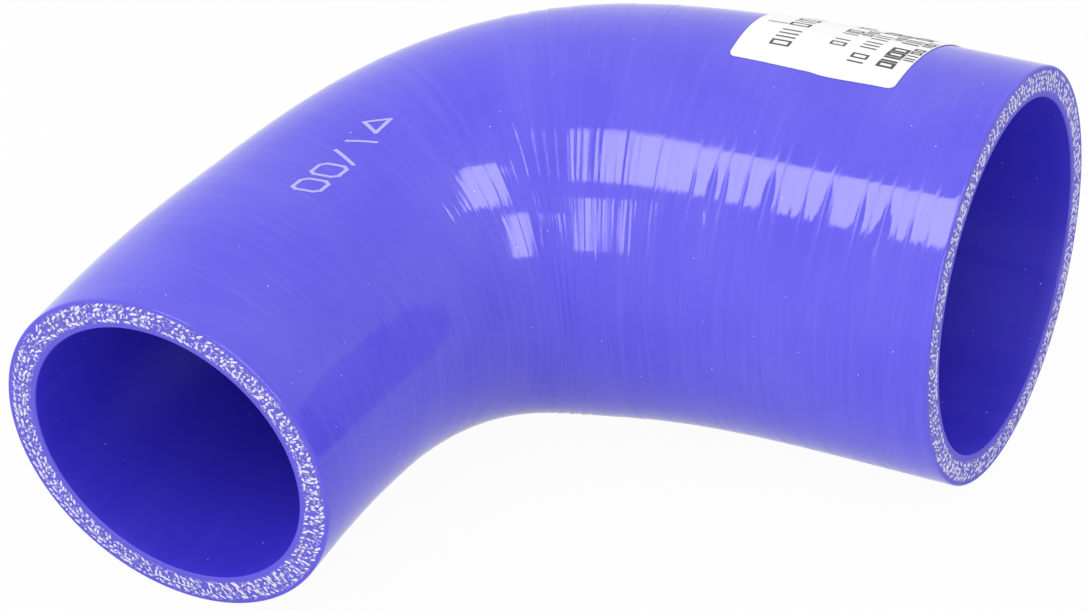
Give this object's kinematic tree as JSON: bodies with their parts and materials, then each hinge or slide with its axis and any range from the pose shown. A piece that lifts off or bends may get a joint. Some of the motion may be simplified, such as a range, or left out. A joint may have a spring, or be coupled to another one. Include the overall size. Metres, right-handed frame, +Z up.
{
  "type": "silicone elbow hose",
  "caption": "Square-cut reinforced silicone elbow hose, a right-angle bend that reduces from a large bore to a small one, with a paper label on its large leg.",
  "frame": {"origin": "middle of the part's underside, on the level surface that it lies on", "axes": "+X out of the large end along its leg, the small leg pointing to -Y and dropping about 3.8 degrees, +Z up"},
  "size_m": [0.1418, 0.1354, 0.0748],
  "materials": {
    "blue_silicone": "glossy, with fine wrap lines",
    "white_paper": "matt"
  },
  "bodies": {
    "root": {"elbow_hose": "blue_silicone", "paper_label": "white_paper"}
  },
  "joints": []
}
